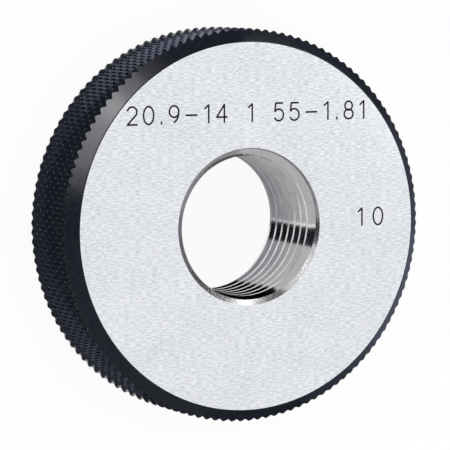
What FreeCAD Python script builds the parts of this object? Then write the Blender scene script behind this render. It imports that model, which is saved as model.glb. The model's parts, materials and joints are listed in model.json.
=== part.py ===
import FreeCAD, Part
import Sketcher
import math
import os

# Thread ring gauge: one turned steel ring with a threaded bore, a diamond-knurled rim and two
# ground faces. The axis of the bore is Z, the ring lies on its back face at z = 0, and the marked
# face is at z = width.

os.makedirs("parts", exist_ok=True)
doc = FreeCAD.newDocument("thread_ring_gauge")

# Driving dimensions in millimetres and degrees
SIZES = [
    ("overall_dia", 53.0, "rim diameter over the tips of the knurl"),
    ("width", 14.0, "width from ground face to ground face"),
    ("edge_chamfer", 1.8, "45 degree chamfer between each face and the rim"),
    ("knurl_pitch", 1.3, "distance round the rim from tip to tip, before rounding to whole tips"),
    ("knurl_angle", 31.0, "angle between the knurl's grooves and the axis"),
    ("knurl_depth", 0.45, "height of the knurl's tips over its grooves"),
    ("minor_dia", 18.9, "bore diameter over the flat crests of the thread"),
    ("thread_depth", 1.0275, "depth of the thread below its crests"),
    ("mouth_margin", 0.06, "how far the 45 degree mouth of the bore reaches past the thread's root"),
]

sheet = doc.addObject("Spreadsheet::Sheet", "Sizes")
for row, (alias, value, meaning) in enumerate(SIZES, start=1):
    sheet.set(f"A{row}", meaning)
    sheet.set(f"B{row}", str(value))
    sheet.setAlias(f"B{row}", alias)
doc.recompute()


# Knurled blank: the rim is a lattice of four-sided points, where two families of grooves cross,
# and each end of the lattice is cut off by the chamfer.


def on_ring(radius, angle, height):
    """The point at this radius, angle about the axis and height."""
    return FreeCAD.Vector(radius * math.cos(angle), radius * math.sin(angle), height)


def cut_by_plane(outline, origin, normal):
    """The part of a flat outline behind a plane, and the points where it meets the plane."""
    tolerance = 1e-7
    kept = []
    met = []
    for start, end in zip(outline, outline[1:] + outline[:1]):
        start_height = (start - origin).dot(normal)
        end_height = (end - origin).dot(normal)
        if start_height <= tolerance:
            kept.append(start)
        if abs(start_height) <= tolerance:
            met.append(start)
        elif start_height * end_height < 0 and abs(end_height) > tolerance:
            crossing = start + (end - start) * (start_height / (start_height - end_height))
            kept.append(crossing)
            met.append(crossing)
    return (kept, met) if len(kept) > 2 else ([], [])


def without_repeats(points):
    """The same points in the same order, less any that repeats the one before it."""
    tolerance = 1e-6
    return [point for i, point in enumerate(points) if i == 0 or (point - points[i - 1]).Length > tolerance]


def flat_face(outline):
    """A flat face with straight edges through these points."""
    return Part.Face(Part.makePolygon(outline + outline[:1]))


def knurled_blank():
    """A closed solid of the knurled and chamfered ring before it is bored."""
    width = sheet.width
    tip_radius = sheet.overall_dia / 2
    groove_radius = tip_radius - sheet.knurl_depth
    face_radius = tip_radius - sheet.edge_chamfer
    tips = round(2 * math.pi * tip_radius / sheet.knurl_pitch)
    half_step = math.pi / tips
    row_height = tip_radius * half_step / math.tan(math.radians(sheet.knurl_angle))
    rows_each_way = math.ceil((width / 2 - sheet.edge_chamfer + sheet.knurl_depth) / row_height)
    faces = []
    for sector in range(2 * tips):
        # A sector is half a tip wide, so that its borders are the ridges of the points
        near = sector * half_step
        far = near + half_step
        ends = []
        for side in (-1, 1):
            face_height = width / 2 * (1 + side)
            rim_height = face_height - side * sheet.edge_chamfer
            near_corner = on_ring(face_radius, near, face_height)
            far_corner = on_ring(face_radius, far, face_height)
            slope = on_ring(tip_radius, near, rim_height) - near_corner
            normal = slope.cross(far_corner - near_corner) * side
            ends.append({"near": near_corner, "far": far_corner, "normal": normal.normalize(), "met": []})
        for row in range(-rows_each_way, rows_each_way + 1):
            # Tips and groove crossings take turns along the row and along the axis
            tip_is_near = (sector + row) % 2 == 0
            tip_angle, crossing_angle = (near, far) if tip_is_near else (far, near)
            height = width / 2 + row * row_height
            tip = on_ring(tip_radius, tip_angle, height)
            beside = on_ring(groove_radius, crossing_angle, height)
            for way in (-1, 1):
                outline = [tip, beside, on_ring(groove_radius, tip_angle, height + way * row_height)]
                for end in ends:
                    outline, met = cut_by_plane(outline, end["near"], end["normal"])
                    end["met"] += met
                outline = without_repeats(outline)
                if len(outline) > 2:
                    faces.append(flat_face(outline))
        for end in ends:
            # The chamfer of this sector runs from the face to where it meets the knurl
            along = end["far"] - end["near"]
            edge = without_repeats(sorted(end["met"], key=lambda point: (point - end["near"]).dot(along)))
            faces.append(flat_face([end["far"], end["near"]] + edge))
    for height in (0, width):
        faces.append(flat_face([on_ring(face_radius, i * half_step, height) for i in range(2 * tips)]))
    return Part.makeSolid(Part.makeShell(faces))


blank = doc.addObject("Part::Feature", "KnurledBlank")
blank.Shape = knurled_blank()
blank.Placement = FreeCAD.Placement()


# Ring gauge: the blank with its bore and the 45 degree mouth at each end turned out of it


def bound_profile(sketch, corners):
    """A closed outline whose corners are bound to the sizes, each given as two expressions."""
    count = len(corners)
    for i in range(count):
        start = FreeCAD.Vector(math.cos(i), math.sin(i), 0)
        end = FreeCAD.Vector(math.cos((i + 1) % count), math.sin((i + 1) % count), 0)
        sketch.addGeometry(Part.LineSegment(start, end), False)
    for i in range(count):
        sketch.addConstraint(Sketcher.Constraint("Coincident", i, 2, (i + 1) % count, 1))
    for i, (across, up) in enumerate(corners):
        for kind, expression in (("DistanceX", across), ("DistanceY", up)):
            index = sketch.addConstraint(Sketcher.Constraint(kind, i, 1, 1.0))
            sketch.setExpression(f"Constraints[{index}]", expression)


ring = doc.addObject("PartDesign::Body", "RingGauge")
ring.Label = "ring_gauge"
ring.BaseFeature = blank
plane = next(item for item in ring.Origin.OriginFeatures if item.Role == "XZ_Plane")
section = ring.newObject("Sketcher::SketchObject", "BoreSection")
section.AttachmentSupport = [(plane, "")]
section.MapMode = "FlatFace"
bore_radius = "Sizes.minor_dia / 2"
mouth_depth = "(Sizes.thread_depth + Sizes.mouth_margin)"
bound_profile(
    section,
    [
        ("0", "0"),
        (f"{bore_radius} + {mouth_depth}", "0"),
        (bore_radius, mouth_depth),
        (bore_radius, f"Sizes.width - {mouth_depth}"),
        (f"{bore_radius} + {mouth_depth}", "Sizes.width"),
        ("0", "Sizes.width"),
    ],
)
doc.recompute()
bore = ring.newObject("PartDesign::Groove", "Bore")
bore.Profile = section
bore.ReferenceAxis = (section, ["V_Axis"])
bore.Angle = 360
bore.Refine = False
doc.recompute()

# Checks before the ring is written
for item in doc.Objects:
    if "Invalid" in item.State or "Error" in item.State:
        raise RuntimeError(f"{item.Name} failed: {item.State}")
if ring.Shape.isNull() or not ring.Shape.isValid() or len(ring.Shape.Solids) != 1:
    raise RuntimeError("the ring gauge is not one valid solid")
if not ring.Shape.Volume < blank.Shape.Volume:
    raise RuntimeError("the bore took nothing away")
ring.Shape.exportStep(f"parts/{ring.Label}.step")
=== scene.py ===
import json
import math

import bmesh
import bpy
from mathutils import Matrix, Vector


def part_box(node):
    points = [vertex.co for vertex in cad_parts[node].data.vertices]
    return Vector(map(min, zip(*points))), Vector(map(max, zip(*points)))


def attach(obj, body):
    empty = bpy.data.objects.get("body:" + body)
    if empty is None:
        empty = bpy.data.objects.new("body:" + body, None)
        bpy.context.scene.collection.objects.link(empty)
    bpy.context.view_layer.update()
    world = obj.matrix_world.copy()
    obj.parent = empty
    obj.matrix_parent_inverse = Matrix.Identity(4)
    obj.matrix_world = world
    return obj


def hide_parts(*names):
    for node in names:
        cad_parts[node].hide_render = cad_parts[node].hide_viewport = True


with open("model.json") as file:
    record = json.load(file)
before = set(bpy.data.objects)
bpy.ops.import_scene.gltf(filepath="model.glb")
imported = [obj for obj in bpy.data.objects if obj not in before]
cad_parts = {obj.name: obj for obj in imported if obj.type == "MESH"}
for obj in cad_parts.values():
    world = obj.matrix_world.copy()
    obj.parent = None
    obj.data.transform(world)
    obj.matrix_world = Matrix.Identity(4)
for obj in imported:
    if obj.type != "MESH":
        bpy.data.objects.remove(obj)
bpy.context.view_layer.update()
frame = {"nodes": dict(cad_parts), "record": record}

# Ring blank
# The gauge is one turned ring of hardened steel with a diamond knurl rolled into its rim.
# Handling and the grinding of the faces leave a narrow flat on every sharp outer edge.

tip_radius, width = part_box("ring_gauge")[1].xz
edge_chamfer = 0.0018
face_radius = tip_radius - edge_chamfer
knurl_depth = 0.00045
knurl_reach = 1.4 * knurl_depth  # what lies this near to the tips is knurl
knurl_tip_wear = 15  # per cent of each ridge that handling has worn away from its tip
knurl_edge_break = 0.00003
chamfer_edge_break = 0.00004
face_edge_break = 0.00008
same_point = 0.000001  # two points that are no farther apart are one
same_line = 0.00001  # and a point that is no farther from a line lies on it
in_millimetres = 1000.0  # the mesh tools have fixed tolerances that are too coarse for metres
least_corner = math.radians(20)  # an edge that bends less isn't broken
least_edge = 0.25  # nor is one that is shorter than this in millimetres
flat_corner = math.radians(0.05)  # an edge that bends less lies within a flat face
end_face_rise = 0.95  # a normal that rises more than this is an end face's
chamfer_rise = 0.6  # and one that rises less than this is the knurl's
blackened, rubbed, rolled = range(3)  # the finishes of the blank, in the order of its slots


def bevel(mesh, places, offset, **settings):
    """Cuts these corners or edges of the mesh back to one flat."""
    bmesh.ops.bevel(mesh, geom=places, offset=offset, segments=1, profile=0.5, **settings)


def outer_edges(mesh, is_there):
    """The outer edges of the mesh where both ends pass a test of radius and height in metres."""
    found = []
    for edge in mesh.edges:
        is_corner = edge.is_convex and edge.calc_face_angle(0) > least_corner
        if is_corner and edge.calc_length() > least_edge:
            ends = [end.co / in_millimetres for end in edge.verts]
            if all(is_there(end.xy.length, end.z) for end in ends):
                found.append(edge)
    return found


def on_knurl(radius, height):
    """Whether a point lies on the knurl."""
    return radius > tip_radius - knurl_reach


def on_chamfer(radius, height):
    """Whether a point lies where a chamfer meets the knurl."""
    from_cone = radius + abs(height - width / 2) - face_radius - width / 2
    return on_knurl(radius, height) and abs(from_cone) < same_line


def on_face_edge(radius, height):
    """Whether a point lies where a chamfer meets its ground face."""
    return abs(radius - face_radius) < same_line


blank = bmesh.new()
blank.from_mesh(frame["nodes"]["ring_gauge"].data)
for face in blank.faces:
    face.material_index = blackened
bmesh.ops.remove_doubles(blank, verts=blank.verts, dist=same_point)
bmesh.ops.scale(blank, vec=(in_millimetres,) * 3, verts=blank.verts)
flat = [
    edge
    for edge in blank.edges
    if edge.calc_face_angle(1) < flat_corner and abs(edge.link_faces[0].normal.z) < end_face_rise
]
bmesh.ops.dissolve_limit(blank, angle_limit=flat_corner, verts=[], edges=flat)
tips = [point for point in blank.verts if point.co.xy.length > (tip_radius - same_point) * in_millimetres]
bevel(blank, tips, knurl_tip_wear, offset_type="PERCENT", affect="VERTICES", material=rubbed)
chamfer_rim = outer_edges(blank, on_chamfer)
ridges = [edge for edge in outer_edges(blank, on_knurl) if edge not in chamfer_rim]
as_edges = {"affect": "EDGES", "clamp_overlap": True}
bevel(blank, ridges, knurl_edge_break * in_millimetres, **as_edges)
chamfer_rim = outer_edges(blank, on_chamfer)
bevel(blank, chamfer_rim, chamfer_edge_break * in_millimetres, material=rubbed, **as_edges)
face_rim = outer_edges(blank, on_face_edge)
bevel(blank, face_rim, face_edge_break * in_millimetres, **as_edges)
for face in blank.faces:
    if face.material_index == blackened and abs(face.normal.z) < chamfer_rise:
        face.material_index = rolled
bmesh.ops.scale(blank, vec=(1 / in_millimetres,) * 3, verts=blank.verts)
blank_mesh = bpy.data.meshes.new("ring_blank")
blank.to_mesh(blank_mesh)
blank.free()
ring = bpy.data.objects.new("threaded_ring", blank_mesh)
bpy.context.scene.collection.objects.link(ring)


# Ground faces
# Both faces are ground flat after the ring is blackened, so they are bare bright steel. The wheel
# leaves a fine short grain that runs along the line of numbers.


class Wire:
    """One socket of a node tree, on which arithmetic adds Math nodes."""

    def __init__(self, tree, socket=None):
        self.tree = tree
        self.socket = socket

    def node(self, kind, settings=None, inputs=None, output=0):
        """Adds a node, sets it up, fills its sockets and returns the chosen output."""
        made = self.tree.nodes.new(kind)
        for name, value in (settings or {}).items():
            setattr(made, name, value)
        for name, given in (inputs or {}).items():
            for value in given if isinstance(given, list) else [given]:
                if isinstance(value, Wire):
                    self.tree.links.new(value.socket, made.inputs[name])
                else:
                    made.inputs[name].default_value = value
        return Wire(self.tree, made.outputs[output] if made.outputs else None)

    def other(self, output):
        """Another output of the same node."""
        return Wire(self.tree, self.socket.node.outputs[output])

    def point(self):
        """The point on the piece that is shaded."""
        return self.node("ShaderNodeTexCoord", output="Object")

    def axes(self):
        """The x, y and z of this vector."""
        x = self.node("ShaderNodeSeparateXYZ", inputs={0: self})
        return x, x.other("Y"), x.other("Z")

    def math(self, operation, *values):
        """The result of a Math node on these values, or on this one alone."""
        return self.node("ShaderNodeMath", {"operation": operation}, dict(enumerate(values or [self])))

    def __add__(self, value):
        return self.math("ADD", self, value)

    def __radd__(self, value):
        return self.math("ADD", value, self)

    def __sub__(self, value):
        return self.math("SUBTRACT", self, value)

    def __rsub__(self, value):
        return self.math("SUBTRACT", value, self)

    def __mul__(self, value):
        return self.math("MULTIPLY", self, value)

    def __rmul__(self, value):
        return self.math("MULTIPLY", value, self)

    def __truediv__(self, value):
        return self.math("DIVIDE", self, value)

    def __rtruediv__(self, value):
        return self.math("DIVIDE", value, self)

    def __pow__(self, value):
        return self.math("POWER", self, value)

    def __rpow__(self, value):
        return self.math("POWER", value, self)

    def step(self, low, high):
        """0 below low, 1 above high, and smooth in between."""
        settings = {"interpolation_type": "SMOOTHSTEP"}
        return self.node("ShaderNodeMapRange", settings, {"Value": self, "From Min": low, "From Max": high})

    def mix(self, low, high):
        """A colour between two, by this value."""
        return self.node("ShaderNodeMix", {"data_type": "RGBA"}, {0: self, 6: low, 7: high}, 2)

    def noise(self, size, detail=3.0, roughness=0.5):
        """Noise from 0 to 1 at this point, with blots of this size along x, y and z in metres."""
        scale = Vector([1 / side for side in size])
        spot = self.node("ShaderNodeVectorMath", {"operation": "MULTIPLY"}, {0: self, 1: scale})
        inputs = {"Vector": spot, "Scale": 1.0, "Detail": detail, "Roughness": roughness}
        return self.node("ShaderNodeTexNoise", inputs=inputs)


def finish_material(name):
    """An empty material and a wire to build it on."""
    material = bpy.data.materials.new(name)
    material.use_nodes = True
    material.node_tree.nodes.clear()
    return material, Wire(material.node_tree)


def close_material(start, constants, inputs, bump=None, depth=0.0):
    """Ends a material in a Principled shader, with a bump of this depth in metres."""
    if bump is not None:
        raised = {"Height": bump, "Strength": 1.0, "Distance": depth}
        inputs = {**inputs, "Normal": start.node("ShaderNodeBump", inputs=raised)}
    shader = start.node("ShaderNodeBsdfPrincipled", inputs={**constants, **inputs})
    start.node("ShaderNodeOutputMaterial", inputs={"Surface": shader})


ground_steel, start = finish_material("ground_steel")
point = start.point()
grain = point.noise((0.0008, 0.00015, 0.001), 2.0, 0.6)
blots = point.noise((0.006, 0.004, 0.01), 2.0)
shade = (grain * 0.9 + blots * 0.1).step(0.36, 0.64)
close_material(
    start,
    {"Metallic": 1.0},
    {
        "Base Color": shade.mix((0.662, 0.682, 0.733, 1), (0.940, 0.957, 1.0, 1)),
        "Roughness": grain * 0.14 + 0.27,
    },
    bump=grain,
    depth=0.000012,
)


# Blackened rim and chamfers
# The ring is dipped in a hot blackening bath, which leaves a thin satin blue-black layer with faint
# turning lines on the chamfers, and a glossier one on the knurl, which the rolling has smoothed.
# Handling has rubbed it off the tips and the edges of the knurl.


def from_axis(point):
    """How far the point is from the axis of the bore."""
    x, y = point.axes()[:2]
    return (x * x + y * y) ** 0.5


def turned(point):
    """The point's distance from the axis and its height, so that a pattern runs round the ring."""
    return point.node("ShaderNodeCombineXYZ", inputs={0: from_axis(point), 1: point.axes()[2]})


black_oxide, start = finish_material("black_oxide")
point = start.point()
mottle = point.noise((0.0006,) * 3, 4.0, 0.6)
turning = turned(point).noise((0.00008,) * 3, 2.0)
close_material(
    start,
    {"Specular IOR Level": 0.25},
    {
        "Base Color": mottle.step(0.3, 0.7).mix((0.007, 0.009, 0.016, 1), (0.012, 0.014, 0.022, 1)),
        "Roughness": mottle * 0.12 + 0.17,
    },
    bump=mottle * 0.6 + turning * 0.4,
    depth=0.000010,
)

rolled_oxide, start = finish_material("rolled_oxide")
point = start.point()
mottle = point.noise((0.0006,) * 3, 4.0, 0.6)
close_material(
    start,
    {"Specular IOR Level": 0.25},
    {
        "Base Color": mottle.step(0.3, 0.7).mix((0.009, 0.011, 0.017, 1), (0.014, 0.016, 0.024, 1)),
        "Roughness": mottle * 0.10 + 0.08,
    },
    bump=mottle,
    depth=0.000004,
)

rubbed_steel, start = finish_material("rubbed_steel")
point = start.point()
rubs = point.noise((0.0009,) * 3, 2.0)
reach = (from_axis(point) - tip_radius) / knurl_depth + 1.0
bare = (rubs * 0.6 + reach * 0.3).step(0.34, 0.52)
close_material(
    start,
    {"Specular IOR Level": 0.25},
    {
        "Base Color": bare.mix((0.02, 0.022, 0.03, 1), (0.60, 0.62, 0.66, 1)),
        "Metallic": bare,
        "Roughness": rubs * 0.2 + 0.22,
    },
)
for finish in (black_oxide, rubbed_steel, rolled_oxide):
    ring.data.materials.append(finish)


# Thread
# The bore has a right-handed pipe thread of 55 degrees, cut and lapped bright. Its crests are cut
# back to flat lands, and each end runs out in a 45 degree mouth. Lands and mouths are plain turned.

thread_mount = next(mount for mount in frame["record"]["mounts"] if mount["name"] == "thread")
crest_radius = thread_mount["dims"]["r_mm"] / in_millimetres
thread_depth = 0.0010275
thread_pitch = 0.0018143
crest_land = 0.000442
root_land = 0.000302
mouth_depth = thread_depth + 0.00006  # the mouths reach a little past the thread's root
cut_clearance = 0.000002  # the fine bore is this much wider than the plain one, and takes it away
overrun = 0.0003  # how far a cutter reaches out past what it cuts
groove_height = 0.0078284  # the middle of one turn of the groove where it crosses +X
steps_per_turn = 180
turns = 10  # enough to run out at both ends

threaded_steel, start = finish_material("threaded_steel")
point = start.point()
lines = turned(point).noise((0.00005,) * 3, 3.0, 0.6)
stain = point.noise((0.003, 0.003, 0.0012), 2.0)
# The height term paints the thread darker towards the lower face. This is painted shade for the turns
# deeper in the bore, seen from the upper face, added on top of the lapping lines and random stains.
shade = (lines * 0.55 + stain * 0.2 + point.axes()[2] / width * 0.4).step(0.30, 0.86)
close_material(
    start,
    {"Metallic": 1.0},
    {
        "Base Color": shade.mix((0.36, 0.37, 0.41, 1), (0.92, 0.91, 0.93, 1)),
        "Roughness": stain * 0.06 + 0.05,
    },
    bump=lines,
    depth=0.000002,
)

turned_steel, start = finish_material("turned_steel")
point = start.point()
speckle = point.noise((0.00022,) * 3, 3.0, 0.65)
stain = point.noise((0.0025, 0.0025, 0.0012), 2.0)
shade = (speckle * 0.6 + stain * 0.4).step(0.30, 0.70)
close_material(
    start,
    {"Metallic": 1.0},
    {
        "Base Color": shade.mix((0.40, 0.40, 0.42, 1), (0.86, 0.85, 0.84, 1)),
        "Roughness": speckle * 0.12 + 0.14,
    },
    bump=speckle,
    depth=0.000004,
)

cut_tree = bpy.data.node_groups.new("cut_bore_and_marks", "GeometryNodeTree")
cut_inputs = {
    "Width": width,
    "Crest radius": crest_radius + cut_clearance,
    "Mouth depth": mouth_depth,
    "Overrun": overrun,
    "Root radius": crest_radius + thread_depth,
    "Pitch": thread_pitch,
    "Groove width at crest": thread_pitch - crest_land,
    "Root land": root_land,
    "Groove height": groove_height,
    "Stroke radius": 0.000135,
    "Ground depth": 0.00006,
}
cut_tree.interface.new_socket("Mesh", in_out="INPUT", socket_type="NodeSocketGeometry")
cut_tree.interface.new_socket("Mesh", in_out="OUTPUT", socket_type="NodeSocketGeometry")
for name in cut_inputs:
    cut_tree.interface.new_socket(name, in_out="INPUT", socket_type="NodeSocketFloat")
cut_tree.interface.new_socket("Marks", in_out="INPUT", socket_type="NodeSocketObject")
cutting = Wire(cut_tree)
given = cutting.node("NodeGroupInput")
half_width = given.other("Width") * 0.5
crest = given.other("Crest radius")
mouth = given.other("Mouth depth") + given.other("Overrun")
x, y, z = cutting.node("GeometryNodeInputPosition").axes()


def placed(mesh, radius, angle, height):
    """The mesh with each point moved to this radius, angle and height."""
    place = {0: radius * angle.math("COSINE"), 1: radius * angle.math("SINE"), 2: height}
    spot = cutting.node("ShaderNodeCombineXYZ", inputs=place)
    return cutting.node("GeometryNodeSetPosition", inputs={"Geometry": mesh, "Position": spot})


# The bore and both mouths: a tube of four rings of points, two at the mouths and two inside
bar = {"Vertices": steps_per_turn, "Side Segments": 3, "Radius": 1.0, "Depth": 3.0}
tube = cutting.node("GeometryNodeMeshCylinder", {"fill_type": "NGON"}, bar)
is_mouth = z.math("ABSOLUTE") - 0.5
reach = half_width - given.other("Mouth depth") + is_mouth * mouth
angle = z.math("ARCTAN2", y, x)
bore_cut = placed(tube, crest + is_mouth * mouth, angle, half_width + z.math("SIGN") * reach)

# The groove: a bar of four sides, wound into the bore as a screw. It lies half a step further
# round than the bore, so that no edge of one lies on an edge of the other.
bar = {"Vertices": 4, "Side Segments": turns * steps_per_turn, "Radius": 2**0.5, "Depth": turns}
straight = cutting.node("GeometryNodeMeshCylinder", {"fill_type": "NGON"}, bar)
square = {"Geometry": straight, "Rotation": (0, 0, math.pi / 4)}
straight = cutting.node("GeometryNodeTransform", inputs=square)
rise = z + 0.5 / steps_per_turn
inner = crest - given.other("Overrun")
depth = given.other("Root radius") - crest
flare = (given.other("Groove width at crest") - given.other("Root land")) / depth
inner_width = given.other("Groove width at crest") + flare * given.other("Overrun")
is_root = x.math("SIGN") * 0.5 + 0.5
across = inner_width + is_root * (given.other("Root land") - inner_width)
radius = inner + is_root * (given.other("Root radius") - inner)
height = given.other("Groove height") + rise * given.other("Pitch") - y.math("SIGN") * across * 0.5
groove_cut = placed(straight, radius, rise * math.tau, height)


# Marks
# A line of plain numbers and a pair at the right are cut into the upper face with a round cutter
# in single strokes, and filled with black.

mark_height = 0.00235
mark_lift = 0.00003  # how far the middle of the round cutter stays above the face
mark_overlap = 0.03  # how far a stroke runs on past its ends, as a part of the height
arc_step = 15  # degrees from point to point of a round stroke

mark_fill, start = finish_material("mark_fill")
point = start.point()
fleck = point.noise((0.0002,) * 3)
close_material(
    start,
    {"Specular IOR Level": 0.15},
    {
        "Base Color": fleck.mix((0.004, 0.005, 0.007, 1), (0.014, 0.016, 0.021, 1)),
        "Roughness": fleck * 0.2 + 0.5,
    },
)


def arc(middle, radii, first, last):
    """Points on an ellipse between two angles in degrees."""
    count = max(3, math.ceil(abs(last - first) / arc_step))
    angles = [math.radians(first + (last - first) * i / count) for i in range(count + 1)]
    return [(middle[0] + radii[0] * math.cos(a), middle[1] + radii[1] * math.sin(a)) for a in angles]


def straight_strokes(*points):
    """A straight stroke from each point to the next."""
    return [list(ends) for ends in zip(points, points[1:])]


# Each number is drawn on a field one high and as wide as its first value says
two_foot = straight_strokes((0.53, 0.53), (0.0, 0.0), (0.60, 0.0))
five_top = straight_strokes((0.54, 1.0), (0.10, 1.0), (0.05, 0.57))
NUMBERS = {
    "0": (0.62, [arc((0.31, 0.5), (0.31, 0.5), 90, 450)]),
    "1": (0.40, straight_strokes((0.06, 0.80), (0.30, 1.0), (0.30, 0.0))),
    "2": (0.60, [arc((0.30, 0.71), (0.29, 0.29), 165, -38), *two_foot]),
    "4": (0.64, straight_strokes((0.48, 0.0), (0.48, 1.0), (0.0, 0.30), (0.64, 0.30))),
    "5": (0.60, [*five_top, arc((0.29, 0.33), (0.30, 0.33), 142, -150)]),
    "8": (0.58, [arc((0.29, 0.75), (0.24, 0.25), 90, 450), arc((0.29, 0.27), (0.29, 0.27), 90, 450)]),
    "9": (0.60, [arc((0.30, 0.68), (0.29, 0.32), 90, 450), arc((0.05, 0.62), (0.54, 0.62), 8, -62)]),
    "-": (0.76, straight_strokes((0.04, 0.45), (0.72, 0.45))),
    ".": (0.16, straight_strokes((0.08, 0.0), (0.08, 0.12))),
    " ": (0.50, []),
}


def run_on(end, before):
    """The end of a stroke, moved on past itself in the direction it comes from."""
    far = mark_overlap / math.dist(end, before)
    return (end[0] + (end[0] - before[0]) * far, end[1] + (end[1] - before[1]) * far)


def write(curve, signs, left, right, base):
    """Adds the strokes of a line of numbers, spread evenly from left to right in metres."""
    drawn = sum(NUMBERS[sign][0] for sign in signs) * mark_height
    gap = (right - left - drawn) / (len(signs) - 1)
    for sign in signs:
        wide, strokes = NUMBERS[sign]
        for stroke in strokes:
            closed = math.dist(stroke[0], stroke[-1]) < same_point
            spline = curve.splines.new("POLY")
            if closed:
                points = stroke[:-1]
            else:
                points = [run_on(stroke[0], stroke[1]), *stroke[1:-1], run_on(stroke[-1], stroke[-2])]
            spline.points.add(len(points) - 1)
            spline.use_cyclic_u = closed
            for spot, (along, up) in zip(spline.points, points):
                spot.co = (left + along * mark_height, base + up * mark_height, width + mark_lift, 1)
        left += wide * mark_height + gap


strokes = bpy.data.curves.new("strokes", "CURVE")
strokes.dimensions = "3D"
write(strokes, "20.9-14 1 55-1.81", left=-0.0178, right=0.0175, base=0.01405)
write(strokes, "10", left=0.0163, right=0.0202, base=-0.0005)
marks = bpy.data.objects.new("strokes", strokes)
bpy.context.scene.collection.objects.link(marks)

drawn = cutting.node("GeometryNodeObjectInfo", inputs={"Object": given.other("Marks")}, output="Geometry")
round_tool = {"Resolution": 8, "Radius": given.other("Stroke radius")}
profile = cutting.node("GeometryNodeCurvePrimitiveCircle", inputs=round_tool)
swept = {"Curve": drawn, "Profile Curve": profile, "Fill Caps": True}
mark_cut = cutting.node("GeometryNodeCurveToMesh", inputs=swept)


# Finished ring
# The bore, the groove and the marks are cut out of the blank, and each tool leaves its own finish
# on what it lays bare. Both faces are ground last of all.

bore_tool, groove_tool, mark_tool = (1.0, 2.0, 3.0)
tool_finishes = ((bore_tool, turned_steel), (groove_tool, threaded_steel), (mark_tool, mark_fill))
sharp_corner = math.radians(10)
chamfer_slope = math.sin(math.radians(45))
same_slope = 0.01  # a face whose normal is no farther from the chamfers' slope is a chamfer


def scaled(mesh, factor):
    """The mesh, this many times as large."""
    return cutting.node("GeometryNodeTransform", inputs={"Geometry": mesh, "Scale": (factor,) * 3})


def cutter(mesh, tool):
    """The mesh in millimetres, with the number of its tool on every face."""
    on_faces = {"data_type": "FLOAT", "domain": "FACE"}
    numbered = {"Geometry": mesh, "Name": "tool", "Value": tool}
    return scaled(cutting.node("GeometryNodeStoreNamedAttribute", on_faces, numbered), in_millimetres)


def finished(mesh, material, where):
    """The mesh with this finish on the chosen faces."""
    chosen = {"Geometry": mesh, "Selection": where, "Material": material}
    return cutting.node("GeometryNodeSetMaterial", inputs=chosen)


# Strokes overlap where they meet, so each of them is a cutter of its own
island = cutting.node("GeometryNodeInputMeshIsland")
single = {"Geometry": cutter(mark_cut, mark_tool), "Group ID": island}
mark_cutters = cutting.node("GeometryNodeSplitToInstances", {"domain": "FACE"}, single)
cutters = [cutter(bore_cut, bore_tool), cutter(groove_cut, groove_tool), mark_cutters]
ring_cut = cutting.node(
    "GeometryNodeMeshBoolean",
    {"operation": "DIFFERENCE", "solver": "MANIFOLD"},
    {"Mesh 1": scaled(given, in_millimetres), "Mesh 2": cutters},
)
whole = cutting.node("GeometryNodeRealizeInstances", inputs={0: scaled(ring_cut, 1 / in_millimetres)})

tool = cutting.node("GeometryNodeInputNamedAttribute", {"data_type": "FLOAT"}, {"Name": "tool"})
for number, finish in tool_finishes:
    whole = finished(whole, finish, tool.math("COMPARE", tool, number, 0.5))
normal_rise = cutting.node("GeometryNodeInputNormal").axes()[2].math("ABSOLUTE")
lies_flat = normal_rise.math("GREATER_THAN", normal_rise, end_face_rise)
from_middle = (z - half_width).math("ABSOLUTE")
at_end = from_middle.math("GREATER_THAN", from_middle, half_width - given.other("Ground depth"))
cutting.node("NodeGroupOutput", inputs={0: finished(whole, ground_steel, lies_flat * at_end)})

cut = ring.modifiers.new("cut", "NODES")
cut.node_group = cut_tree
for socket in cut_tree.interface.items_tree:
    if socket.in_out == "INPUT" and socket.name in cut_inputs:
        cut[socket.identifier] = cut_inputs[socket.name]
    elif socket.in_out == "INPUT" and socket.name == "Marks":
        cut[socket.identifier] = marks
depsgraph = bpy.context.evaluated_depsgraph_get()
ring_mesh = bpy.data.meshes.new_from_object(ring.evaluated_get(depsgraph), depsgraph=depsgraph)
ring.modifiers.remove(cut)
ring.data = ring_mesh
bpy.data.objects.remove(marks)
# The tools' numbers and the plain ring's own shading have no more use on the cut ring
for name in ("tool", "custom_normal"):
    if name in ring_mesh.attributes:
        ring_mesh.attributes.remove(ring_mesh.attributes[name])
ring_mesh.set_sharp_from_angle(angle=sharp_corner)
thread_slot = ring_mesh.materials.find("threaded_steel")
black_slot = ring_mesh.materials.find("black_oxide")
for face in ring_mesh.polygons:
    is_chamfer = face.material_index == black_slot and abs(abs(face.normal.z) - chamfer_slope) < same_slope
    face.use_smooth = is_chamfer or face.material_index == thread_slot
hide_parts("ring_gauge")
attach(ring, "root")


# Studio
# The ring lies on a pale floor under an even white sky. Dark and bright cards that only its
# reflections show stand round it or lie on the floor, where a photographer would put them.

floor_white = 0.92  # the part of the floor that is white of itself, while the rest shows the shadow

world = bpy.data.worlds.new("studio")
bpy.context.scene.world = world
world.use_nodes = True
world.node_tree.nodes["Background"].inputs["Color"].default_value = (1, 1, 1, 1)
world.node_tree.nodes["Background"].inputs["Strength"].default_value = 1.0

floor_material, start = finish_material("floor")
ray = start.node("ShaderNodeLightPath")
seen = ray.math("MAXIMUM", ray.other("Is Camera Ray"), ray.other("Is Glossy Ray"))
seen = ray.math("MAXIMUM", seen, ray.other("Is Transmission Ray"))
lit = start.node("ShaderNodeBsdfDiffuse", inputs={"Color": (1, 1, 1, 1)})
white = start.node("ShaderNodeEmission", inputs={"Color": (1, 1, 1, 1), "Strength": 1.0})
shader = start.node("ShaderNodeMixShader", inputs={0: seen * floor_white, 1: lit, 2: white})
start.node("ShaderNodeOutputMaterial", inputs={"Surface": shader})
bpy.ops.mesh.primitive_circle_add(vertices=64, radius=4.0, fill_type="NGON")
floor = bpy.context.object
floor.name = "floor"
floor.data.materials.append(floor_material)


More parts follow.
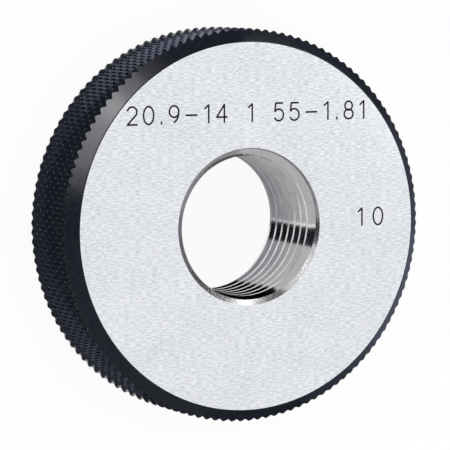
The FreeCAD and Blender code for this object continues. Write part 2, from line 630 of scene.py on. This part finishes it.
def card(name, first, last, profile, strength, colour=(1, 1, 1)):
    """A bent card that only reflections show, between two azimuths and through (radius, height) pairs."""
    columns = 36
    points = []
    for radius, height in profile:
        for column in range(columns + 1):
            turn = math.radians(first + (last - first) * column / columns)
            points.append((radius * math.cos(turn), radius * math.sin(turn), height))
    faces = []
    for row in range(len(profile) - 1):
        for column in range(columns):
            corner = row * (columns + 1) + column
            faces.append((corner, corner + 1, corner + columns + 2, corner + columns + 1))
    mesh = bpy.data.meshes.new(name)
    mesh.from_pydata(points, [], faces)
    made = bpy.data.objects.new(name, mesh)
    bpy.context.scene.collection.objects.link(made)
    finish, start = finish_material(name)
    glow = start.node("ShaderNodeEmission", inputs={"Color": (*colour, 1), "Strength": strength})
    start.node("ShaderNodeOutputMaterial", inputs={"Surface": glow})
    mesh.materials.append(finish)
    made.visible_camera = False
    made.visible_diffuse = False
    made.visible_shadow = False
    made.visible_transmission = False


def dome(distance, low, high):
    """The profile of a card on a sphere round the ring's top, between two elevations."""
    rows = 8
    profile = []
    for row in range(rows + 1):
        up = math.radians(low + (high - low) * row / rows)
        profile.append((distance * math.cos(up), width / 2 + distance * math.sin(up)))
    return profile


def floor_card(name, first, last, inner, outer, strength, colour=(1, 1, 1)):
    """A flat card just over the floor, between two radii round the ring."""
    lift = 0.0003
    card(name, first, last, [(inner, lift), (outer, lift)], strength, colour)


cool = (0.85, 0.92, 1.25)
bore_floor = 0.0118  # the floor that shows through the bore
foot = 0.0267  # just clear of the knurl
shaded = 0.0276
near = 0.0316
middle = 0.048
far = 0.1
past_view = 1.2
floor_card("floor_shaded", 80, 250, foot, shaded, 0.05)
floor_card("floor_top_near", 80, 131, shaded, near, 0.68, cool)
floor_card("floor_high_left_near", 131, 150, shaded, near, 0.3, cool)
floor_card("floor_left_near", 150, 205, shaded, near, 0.18, cool)
floor_card("floor_low_left_near", 205, 235, shaded, near, 0.28, cool)
floor_card("floor_low_near", 235, 250, shaded, near, 0.15, cool)
floor_card("floor_low", 250, 305, foot, past_view, 0.02)
floor_card("floor_left", 108, 250, near, middle, 0.0)
floor_card("floor_left_far", 108, 150, middle, far, 0.0)
floor_card("floor_top", 99, 108, near, far, 0.05)
floor_card("floor_top_far", 80, 99, near, far, 0.3)
floor_card("floor_low_right", -55, -42, foot, past_view, 0.18, cool)
floor_card("floor_right_a", -42, -34, foot, past_view, 0.3, cool)
floor_card("floor_right_b", -34, -6, foot, past_view, 0.43, cool)
floor_card("floor_right_c", -6, 3, foot, past_view, 0.28, cool)
floor_card("floor_right_d", 3, 22, foot, past_view, 0.2, cool)
floor_card("floor_right_e", 22, 80, foot, past_view, 0.09, cool)
floor_card("floor_bore_low", -130, -8, 0.0, bore_floor, 1.0)
floor_card("floor_bore_high", -8, 230, 0.0, bore_floor, 0.44)
card("flag_horizon_right", 0, 100, dome(0.9, 0, 24), 0.02)
card("grey_horizon_low", -150, 0, dome(0.9, 1, 26), 0.28)
card("flag_left", 161, 191, dome(0.5, 12, 80), 0.015, cool)
card("flag_horizon_left", 190, 211, dome(0.9, 8, 26), 0.1)
card("dark_card", 35, 89, dome(0.7, 26, 54), 0.0)
card("flank_card", 89, 161, dome(0.65, 36, 76), 0.5)
card("grey_card", -165, -51, dome(0.6, 24, 66), 0.47)
card("soft_box", 100, 161, dome(0.6, 12, 32), 1.0)
# The light that runs along the knurl, in steps of first azimuth, last azimuth and strength
rim_lights = (
    (100, 108, 0.0),
    (108, 117, 1.0),
    (117, 127, 6.0),
    (127, 137, 15.0),
    (137, 147, 9.5),
    (147, 158, 7.0),
    (158, 166, 3.0),
)
for first, last, strength in rim_lights:
    card(f"rim_light_{first}", first, last, [(0.06, 0.015), (0.06, 0.034)], strength)
card("white_slit", 35, 62, dome(0.85, 0.5, 8), 0.8)
card("mouth_light", 15, 85, [(0.032, 0.0143), (0.032, 0.0205)], 2.2)

# The camera looks down on the ring from a little to the left of the bore
camera = bpy.data.objects.new("camera", bpy.data.cameras.new("camera"))
bpy.context.scene.collection.objects.link(camera)
camera.data.sensor_width = 36.0
camera.data.lens = 246.49
camera.data.clip_start = 0.01
camera.location = (-0.18186, 0.03595, 0.38086)
camera.rotation_euler = [math.radians(angle) for angle in (-4.8888, -25.9233, -0.2161)]
bpy.context.scene.camera = camera
bpy.context.scene.view_settings.view_transform = "Standard"
